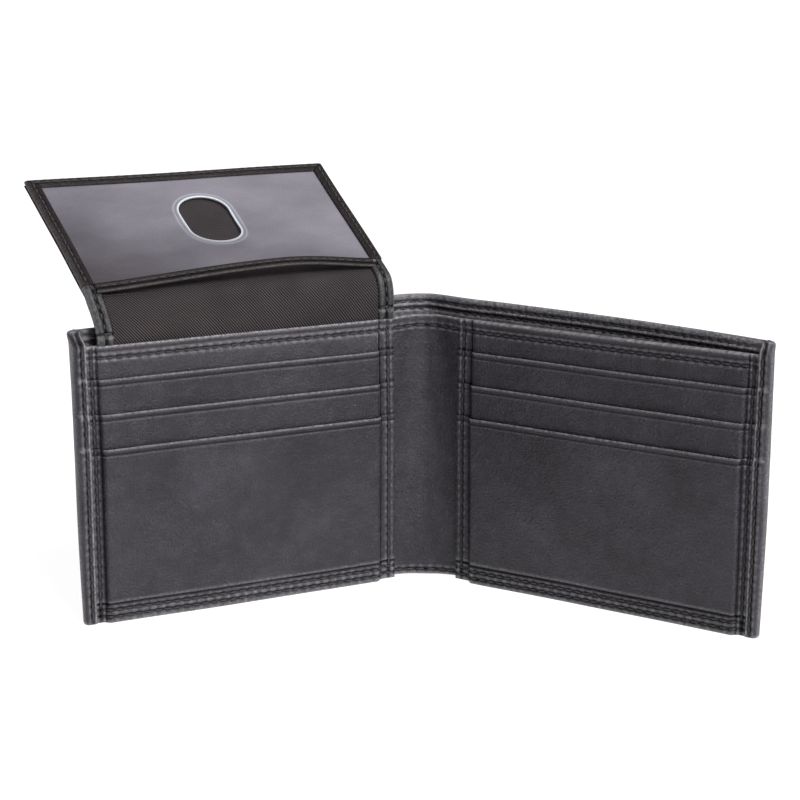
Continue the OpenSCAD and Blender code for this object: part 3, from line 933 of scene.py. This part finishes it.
def shell_sheets(side):
    """The outer leather with its turned outer edge and turned top, and its lining."""
    name = SIDE_NAMES[side]

    def place(s, v):
        return shell_point(side, s, v)

    def thick(s, v):
        facing = FACING_T * smooth(FACING_LOW - 0.2, FACING_LOW + 0.2, v)
        facing = facing * (1 - smooth(S_BACK - 3, S_BACK, s))
        leather_t = SHELL_T + (BORDER_T - SHELL_T) * smooth(S_BACK - 2, S_BACK + 2, s)
        rows = grooves(FACING_ROWS, v, s) * (1 - smooth(S_BACK - 4, S_BACK - 2, s))
        return leather_t + facing + rows

    def relief(s, v):
        on_border = smooth(S_BACK, S_BACK + 2, s)
        u_front = TURN_U - (s - S_TURN)
        back_rows = grooves(FACING_ROWS + FOOT_ROWS, v, s) + row_groove(s - ARC_LEN - BORDER_ROW, v)
        return row_groove(u_front - BORDER_ROW, v) * on_border + back_rows * (1 - on_border)

    # Painted tone of the turned border: painted highlight on its crest and on the bumps over the slot
    # edges, with the row's painted shade and highlight.
    def border_wear_and_light(s, v):
        u_front = TURN_U - (s - S_TURN)
        on_border = smooth(S_BACK, S_BACK + 2, s)
        row = row_shade_and_highlight(u_front - BORDER_ROW, v)
        bumps = sum(0.7 * bump(v - edge - 0.1, 0.6) for edge in SLOT_EDGES)
        ridge = 0.5 * bump(s - (S_BACK + TURN_LEN * 0.62), 0.9)
        return (ridge + row + bumps * smooth(S_TURN - 2, S_TURN, s)) * on_border

    # Painted light inside the mouth: the facing, which the panel in front shades, is painted paler,
    # most near the outer end, with the rows' painted shade and highlight.
    def facing_painted_light(s, v):
        rows = row_tones(FACING_ROWS, v, s)
        near_tip = smooth(S_BACK - 16, S_BACK - 8, s)
        on_facing = smooth(FACING_LOW, FACING_LOW + 1, v) * (1 - smooth(S_BACK - 4, S_BACK, s))
        return (0.8 * rows + 0.6 + 0.4 * near_tip) * on_facing

    s_marks = [(S_TURN + TURN_U - BORDER_ROW, 0.9), (ARC_LEN + BORDER_ROW, 0.8)]
    along = samples(0, S_END, 1.3, s_marks)
    along = np.unique(np.concatenate([along, np.linspace(S_BACK - 1, S_TURN + 0.5, 22)]))
    edges = [(edge - 0.5, 1.2) for edge in SLOT_EDGES]
    rows = [(row, 0.8) for row in FACING_ROWS + FOOT_ROWS]
    up = samples(0, SHELL_H, 1.2, edges + rows + [(FACING_LOW, 0.3)], rim=0.7)
    shell = sheet(name + "_shell", place, along, up, thick, black_leather, -side, relief=relief,
                  rim=0.7, butt="a0", worn_and_highlit="a1 b1 b0", extra_wear_and_light=border_wear_and_light, back_wear_and_light=facing_painted_light)
    across_fold(shell, side, SHELL_BEND, "black_leather", name + "_shell", name + "_side_wrap",
                *middle_node(side, "spine_shell"))

    def lining_place(s, v):
        gap = shell_gap(side, s, v) - wave(side, s - ARC_LEN, v)
        return wall_point(side, s, gap - SHELL_T - LINING_T - 0.05, v)

    end, low, high = ARC_LEN + 99.5, 0.4, FACING_LOW + 0.8
    piece = sheet(name + "_lining", lining_place, samples(0, end, 1.8, rim=0.2),
                  samples(low, high, 2.0, rim=0.2), LINING_T, twill_cloth, side, rim=0.2, butt="a0")
    across_fold(piece, side, SHELL_BEND, "twill", name + "_lining",
                *middle_node(side, "spine_lining"))


def spine_strip(side):
    """Half of the leather strip between the panels."""
    name = SIDE_NAMES[side]

    def place(s, v):
        return wall_point(side, s, strip_behind(s, v) + 0.03, v)

    def relief(s, v):
        top = PANEL_H - v
        turned = 0.16 * (2 - smooth(4.4, 5.0, top) - smooth(4.4, 5.0, v))
        return turned + grooves(SPINE_ROWS, v, s) + hem(top) * 0.5

    marks = [(row, 0.9) for row in SPINE_ROWS] + [(PANEL_H - 4.7, 0.5), (4.7, 0.5)]
    # the strip's rows get painted shade and highlight
    piece = sheet(name + "_spine_strip", place, samples(0, ARC_LEN + STRIP_TUCK, 0.7, rim=0.3),
                  samples(0.5, PANEL_H, 0.9, marks), WALL_T - 0.06, black_leather, side,
                  relief=relief, butt="a0", worn_and_highlit="b1 b0",
                  extra_wear_and_light=lambda s, v: row_tones(SPINE_ROWS, v, s))
    across_fold(piece, side, STRIP_BEND, "black_leather", *middle_node(side, "spine_strip"))

    rows = Stitches(40 + side)
    for v in SPINE_ROWS:
        rows.row(place, (0.2, v), (ARC_LEN + 0.2, v), flip=side)
    across_fold(rows.mesh(name + "_spine_thread"), side, STRIP_BEND, "thread",
                *middle_node(side, "spine_thread"))


def leaf_threads(side):
    """Stitch rows of a leaf's front, and of its shell inside the mouth and outside."""
    name = SIDE_NAMES[side]

    def front(u, v):
        return panel_point(side, u, v)

    def smooth_front(u, v):
        return panel_point(side, u, v, 0.4)

    rows = Stitches(10 + side)
    for u in (INNER_ROW, PANEL_ROW):
        rows.row(smooth_front, (u, 1.5 * PITCH), (u, 28.5 * PITCH), flip=side)
    for v in FOOT_ROWS:
        rows.row(front, (0.5 * PITCH, v), (32.5 * PITCH, v), flip=side)
    rows.row(front, (1.5 * PITCH, HEADER_ROW), (32.5 * PITCH, HEADER_ROW), flip=side)

    def border(u, v):
        return shell_point(side, S_TURN + TURN_U - u, v)

    rows.row(border, (BORDER_ROW, 0.5 * PITCH), (BORDER_ROW, 28.5 * PITCH), flip=side)
    riding(rows.mesh(name + "_leaf_thread"), name + "_leaf", "thread", name + "_leaf_thread")

    def outside(s, v):
        return shell_point(side, s, v)

    def inside(s, v):
        gap = shell_gap(side, s, v) - wave(side, s - ARC_LEN, v)
        return wall_point(side, s, gap - SHELL_T - FACING_T + 0.1, v)

    rows = Stitches(20 + side)
    for v in FACING_ROWS:
        rows.row(inside, (0.4, v), (ARC_LEN + 97, v), flip=side)
        rows.row(outside, (0.4, v), (ARC_LEN + 98, v), flip=-side)
    for v in FOOT_ROWS:
        rows.row(outside, (0.4, v), (ARC_LEN + 98, v), flip=-side)
    rows.row(outside, (ARC_LEN + BORDER_ROW, 5.5), (ARC_LEN + BORDER_ROW, 83.5), flip=-side)
    across_fold(rows.mesh(name + "_shell_thread"), side, SHELL_BEND, "thread")


# ---------------- flap

def flap_at(w, v):
    """A point above the left leaf's fold line, in metres, for the flap's bends."""
    return tuple(leaf_point(LEFT, 0.0, w, v) * MM)


def strip_part(piece, part, slot_name, *nodes):
    """Hands a part of the flap's cloth to bending, with the stretch at the leaf's top edge or at the ID
    leaf. Its lower half stands for the CAD nodes."""
    if part == "lower":
        bodies, start, end = ("left_leaf", "flap_strip"), flap_at(0.3, 86.4), flap_at(0.3, 92.0)
    else:
        bodies, start, end = ("flap_strip", "id_leaf"), flap_at(0.2, 94.6), flap_at(-4.4, 101.2)
        nodes = []
    bending(piece, bodies, start, end, slot_name, *nodes)


def flap_cloth():
    """Twill face and leather back of the flap's strip, each in a lower and an upper part."""
    # the upper back ends just inside the ID leaf, whose own back takes over
    for part, low, high, back_end in (("lower", 0.0, STRIP_MID, STRIP_MID),
                                      ("upper", STRIP_MID, STRIP_LEN, STRIP_LEN - 5.6)):
        butt = "b1" if part == "lower" else "b0"
        left, right = 98.0, 2.2
        face = sheet("strip_twill_" + part, strip_point, samples(right, left, 2.0, rim=0.2),
                     samples(low, high, 0.8, rim=0.2), LINING_T, twill_cloth, LEFT, rim=0.2, butt=butt)
        strip_part(face, part, "twill", "strip_twill", "flap_anchor")
        back = sheet("strip_back_" + part, lambda u, t: strip_point(u, t, -0.36),
                     samples(2.0, 98.2, 2.0, rim=0.3), samples(low, back_end, 0.8, rim=0.2), 0.5,
                     black_leather, LEFT, rim=0.3, butt=butt)
        strip_part(back, part, "black_leather", "strip_back")


def strip_bindings():
    """Leather bindings over the two edges of the flap's strip, each in a lower and an upper part."""
    groove_t = STRIP_FOOT + 2.6
    for label, outer, inward in FLAP_EDGES:

        def place(c, t, outer=outer, inward=inward):
            return strip_point(outer + inward * (c - 0.25), t, 0.75)

        def relief(c, t):
            crown = 0.35 * np.sin(math.pi * np.clip(c / BINDING_W, 0, 1))
            return crown - 0.42 * bump(c - BINDING_W / 2, 0.42) - 0.3 * bump(t - groove_t, 0.35)

        # painted highlights on the ridges and above the foot groove; painted shade in the middle groove
        # and in the foot groove
        def binding_shade_and_highlight(c, t):
            ridges = 0.35 * bump(c - 1.7, 0.7) + 0.35 * bump(c - 4.5, 0.6)
            ridges = ridges + 0.9 * bump(t - groove_t + 1.2, 0.5)
            return ridges - 0.9 * bump(c - BINDING_W / 2, 0.45) - 0.9 * bump(t - groove_t, 0.4)

        c = samples(0, BINDING_W, 0.5, [(BINDING_W / 2, 0.8)], rim=1.1)
        # the anchored end stops inside the slip pocket, where the panel hides it
        for part, low, high, marks, butt in (
                ("lower", STRIP_FOOT - 1.5, STRIP_MID, [(groove_t, 0.6)], "b1"),
                ("upper", STRIP_MID, STRIP_LEN - 1.5, [], "b0")):
            t = samples(low, high, 0.7, marks, rim=0.8)
            piece = sheet(f"strip_binding_{label}_{part}", place, c, t, BINDING_T, bound_leather,
                          LEFT * inward, relief=relief, rim=1.1, butt=butt, worn_and_highlit="a0",
                          extra_wear_and_light=binding_shade_and_highlight)
            strip_part(piece, part, "black_leather", f"strip_binding_{label}")

    lower_rows, upper_rows = Stitches(51), Stitches(52)
    for label, outer, inward in FLAP_EDGES:
        centre = outer + inward * (BINDING_W / 2 - 0.25)

        def on_binding(u, t):
            return strip_point(u, t, 0.65)

        foot, middle, end = ((centre, t) for t in (STRIP_FOOT + 0.6, STRIP_MID, STRIP_LEN - 1.7))
        lower_rows.row(on_binding, foot, middle, flip=LEFT, size=0.9)
        upper_rows.row(on_binding, middle, end, flip=LEFT, size=0.9)
        lower_rows.row(on_binding, (outer + inward * 0.6, groove_t),
                       (outer + inward * 5.6, groove_t), flip=LEFT, size=0.8)
    strip_part(lower_rows.mesh("strip_thread_lower"), "lower", "thread", "strip_thread")
    strip_part(upper_rows.mesh("strip_thread_upper"), "upper", "thread")


def id_leaf():
    """Back, lining, window and leather frame of the ID pocket."""
    def layer(n):
        return lambda u, h: id_point(u, h, n)

    def back_relief(u, h):
        edge = np.minimum(np.minimum(u - FLAP_U0, FLAP_U1 - u), ID_LEN - h)
        return row_groove(edge - FRAME_ROW, u + h)

    u_marks = [(FLAP_U0 + FRAME_ROW, 0.8), (FLAP_U1 - FRAME_ROW, 0.8)]
    back = sheet("id_back", layer(-1.25), samples(FLAP_U0, FLAP_U1, 1.6, u_marks),
                 samples(0.4, ID_LEN, 1.6, [(ID_LEN - FRAME_ROW, 0.8)]), 0.62, brown_leather, RIGHT,
                 relief=back_relief, rim=0.45, worn_and_highlit="a0 a1 b1")
    riding(back, "id_leaf", "brown_leather", "id_back")

    cloth = sheet("id_lining", layer(-0.2), samples(1.4, FLAP_U1 - 0.8, 2.0, rim=0.2),
                  samples(4.0, ID_LEN - 0.8, 2.0, rim=0.2), LINING_T, twill_cloth, LEFT, rim=0.2)
    riding(cloth, "id_leaf", "twill", "id_lining")

    def frame_relief(c, along):
        return 0.14 * np.sin(math.pi * np.clip(c / FRAME_W, 0, 1)) + row_groove(c - FRAME_ROW, along)

    c = samples(0, FRAME_W, 0.6, [(FRAME_ROW, 0.8)], rim=0.7)

    def side_place(outer, inward):
        def place(c, share):
            foot = BINDING_TOP - 0.4
            return id_point(outer + inward * c, foot + (ID_LEN - c - foot) * share / 100, FRAME_FRONT)
        return place

    share = samples(0, 100, 1.6, rim=1.0)
    for label, outer, inward in FLAP_EDGES:
        piece = sheet("id_frame_" + label, side_place(outer, inward), c, share, FRAME_T, brown_leather,
                      LEFT * inward, relief=frame_relief, rim=0.6, worn_and_highlit="a0")
        riding(piece, "id_leaf", "brown_leather", "id_frame_" + label)

    def far_place(c, share):
        return id_point(FLAP_U0 + c + (FLAP_W - 2 * c) * share / 100, ID_LEN - c, FRAME_FRONT)

    piece = sheet("id_frame_far", far_place, c, samples(0, 100, 1.4, rim=0.8), FRAME_T,
                  brown_leather, LEFT, relief=frame_relief, rim=0.6, worn_and_highlit="a0")
    riding(piece, "id_leaf", "brown_leather", "id_frame_far")


def id_window():
    """Clear window with its thumb slot, and the bowed leather binding along its mouth."""
    rays = 180
    radius = THUMB_W / 2
    straight = THUMB_LEN / 2 - radius
    quarter = math.pi / 2 * radius + straight
    walked = (np.arange(rays) + 0.5) / rays * 4 * quarter
    lap = np.mod(walked, 2 * quarter)
    cap = np.clip((lap - straight) / radius, 0, math.pi)
    drop = np.minimum(np.minimum(lap, 2 * quarter - lap), straight)
    half_turn = np.where(walked < 2 * quarter, 1, -1)
    hole_u = THUMB_U + half_turn * radius * np.cos(cap)
    hole_h = THUMB_H + half_turn * (radius * np.sin(cap) + drop)
    u0, u1, h0, h1 = 3.0, FLAP_U1 - 2.4, 2.4, ID_LEN - 2.0
    away_u, away_h = hole_u - THUMB_U, hole_h - THUMB_H
    far_u = np.where(away_u > 0, u1 - THUMB_U, THUMB_U - u0) / np.maximum(np.abs(away_u), 1e-6)
    far_h = np.where(away_h > 0, h1 - THUMB_H, THUMB_H - h0) / np.maximum(np.abs(away_h), 1e-6)
    reach = np.minimum(far_u, far_h)
    rim_u, rim_h = THUMB_U + away_u * reach, THUMB_H + away_h * reach
    size = np.hypot(rim_u - hole_u, rim_h - hole_h)
    steps = np.concatenate([[0, 0.25, 0.5, 0.8, 1.1, 1.5, 1.9, 2.3, 2.8], np.linspace(3.6, 100, 26)])
    near, steps = 3.6 / size, steps[:, None]
    share = np.where(steps < 3.6, steps / size, near + (1 - near) * (steps - 3.6) / 96.4)
    grid_u = hole_u + (rim_u - hole_u) * share
    grid_h = hole_h + (rim_h - hole_h) * share
    from_hole = share * size
    ridge = 0.22 * bump(from_hole - 0.45, 0.35) + 0.12 * bump(from_hole - 1.9, 0.3)
    ripple = 0.25 * np.sin(grid_u / 8 + grid_h / 15) + 0.2 * np.sin(grid_u / 21 - grid_h / 7)
    for from_edge in (ID_LEN - grid_h, grid_u, FLAP_U1 - grid_u):
        ripple = ripple * smooth(2, 18, from_edge)
    n = FILM_N + mouth_bow(grid_u, grid_h) + ridge + 0.8 * ripple
    top = id_point(grid_u, grid_h, n)
    bottom = id_point(grid_u, grid_h, n - 0.3 - ridge)
    index = np.arange(grid_u.size).reshape(grid_u.shape)
    after = np.roll(index, -1, axis=1)
    skin = np.stack([index[:-1], index[1:], after[1:], after[:-1]], -1).reshape(-1, 4)
    rings = ((index[0], after[0]), (index[-1], after[-1]))
    sealed = np.clip(bump(from_hole - 0.3, 0.42) + 0.45 * bump(from_hole - 1.9, 0.3), 0, 1)
    window = two_skins("id_window", top, bottom, (grid_u, grid_h), skin, rings, (sealed, sealed), film)
    flatten(riding(window, "id_leaf", "clear_film", "id_window"))

    def mouth_place(u, h):
        return id_point(u, h, FILM_N + 0.55 + mouth_bow(u, h))

    def mouth_relief(u, h):
        crown = np.sin(math.pi * (h - MOUTH_LOW) / (MOUTH_HIGH - MOUTH_LOW))
        return row_groove(h - MOUTH_ROW, u) + 0.1 * crown

    # a pale lower edge, partly wear and partly painted highlight, and painted shade over the band above
    # it
    def mouth_wear_and_shade(u, h):
        return 0.9 * bump(h - MOUTH_LOW - 0.1, 0.25) - 0.8 * bump(h - MOUTH_LOW - 1.1, 0.6)

    h = samples(MOUTH_LOW, MOUTH_HIGH, 0.6, [(MOUTH_ROW, 0.8)], rim=0.6)
    mouth = sheet("id_mouth_binding", mouth_place, samples(FLAP_U0 + 3.6, FLAP_U1 - 3.6, 1.2, rim=0.4),
                  h, 1.0, brown_leather, LEFT, relief=mouth_relief, rim=0.55, extra_wear_and_light=mouth_wear_and_shade)
    flatten(riding(mouth, "id_leaf", "brown_leather", "id_mouth_binding"))

    rows = Stitches(61)
    rows.row(mouth_place, (FLAP_U0 + 4.6, MOUTH_ROW), (FLAP_U1 - 4.6, MOUTH_ROW), flip=LEFT, size=0.95)
    flatten(riding(rows.mesh("id_mouth_thread"), "id_leaf", "thread"))


def flatten(piece):
    """Gives the piece its own copy of its mesh; the bowed mouth is not laid flat."""
    normal = id_point(50.0, 30.0, 1.0) - id_point(50.0, 30.0, 0.0)
    anchor = id_point(0.0, 30.0, -0.1) * MM
    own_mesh(piece)
    return piece


def id_threads():
    """Stitch rows of the ID leaf's frame and back."""
    rows = Stitches(71)
    u0, u1 = FLAP_U0 + FRAME_ROW, FLAP_U1 - FRAME_ROW
    low, high = BINDING_TOP + 0.6, ID_LEN - FRAME_ROW
    for n, flip in ((FRAME_FRONT + 0.05, LEFT), (-1.2, RIGHT)):

        def on_face(u, h, n=n):
            return id_point(u, h, n)

        rows.row(on_face, (u0, low), (u0, high), flip=flip)
        rows.row(on_face, (u1, low), (u1, high), flip=flip)
        rows.row(on_face, (u0, high), (u1, high), flip=flip)
    riding(rows.mesh("id_thread"), "id_leaf", "thread", "id_thread")


# ---------------- stage

def place_camera():
    """The photograph's view: a long lens from a little above."""
    camera = bpy.data.cameras.new("camera")
    camera.lens = 88.4
    camera.sensor_width = 36
    camera.clip_start = 0.01
    camera.clip_end = 100
    view = placed("camera", camera)
    view.location = (0.0237, -0.6106, 0.2139)
    view.rotation_euler = (math.radians(90 - 14.35), 0, math.radians(3.02))
    bpy.context.scene.camera = view


def aim(lamp, direction):
    """Turns a light to shine along a direction."""
    lamp.rotation_euler = Vector(direction).to_track_quat("-Z", "Y").to_euler()


def area_light(name, place, target, size, power):
    light = bpy.data.lights.new(name, "AREA")
    light.shape = "RECTANGLE"
    light.size, light.size_y = size
    light.energy = power
    lamp = placed(name, light)
    lamp.location = place
    aim(lamp, Vector(target) - Vector(place))


def place_stage():
    """Glowing pale floor like a light table, white surroundings and soft lights."""
    s = Shader("pale_floor", Roughness=0.9, Specular_IOR_Level=0.1, Emission_Strength=0.95)
    clouds = s.noise(s.node("TexCoord").outputs["Object"], 3.0)
    s.feed("Base Color", s.mix(clouds, rgb(0.20, 0.20, 0.20), rgb(0.22, 0.22, 0.22)))
    s.feed("Emission Color", s.mix(clouds, rgb(0.99, 0.99, 0.99), rgb(1.0, 1.0, 1.0)))
    half = 12.0
    mesh = bpy.data.meshes.new("floor")
    corners = [(-half, -half, 0), (half, -half, 0), (half, half, 0), (-half, half, 0)]
    mesh.from_pydata(corners, [], [(0, 1, 2, 3)])
    mesh.materials.append(s.material)
    placed("floor", mesh)

    world = bpy.data.worlds.new("studio")
    world.use_nodes = True
    background = world.node_tree.nodes["Background"]
    background.inputs["Color"].default_value = rgb(1.0, 1.0, 1.0)
    background.inputs["Strength"].default_value = 0.12
    bpy.context.scene.world = world
    sun = bpy.data.lights.new("sun", "SUN")
    sun.energy = 3.7
    sun.angle = math.radians(30)
    aim(placed("sun", sun), (-0.75, 0.75, -1.05))
    area_light("top_light", (0.1, -0.1, 0.9), (0, 0, 0.05), (0.7, 0.3), 3)
    area_light("low_light", (0.55, -0.40, 0.06), (-0.04, 0, 0.02), (0.25, 0.08), 0.8)
    bpy.context.scene.view_settings.view_transform = "Standard"


for leaf_side in (LEFT, RIGHT):
    panel_sheets(leaf_side)
    wall_sheets(leaf_side)
    shell_sheets(leaf_side)
    spine_strip(leaf_side)
    leaf_threads(leaf_side)
flap_cloth()
strip_bindings()
id_leaf()
id_window()
id_threads()
place_camera()
place_stage()
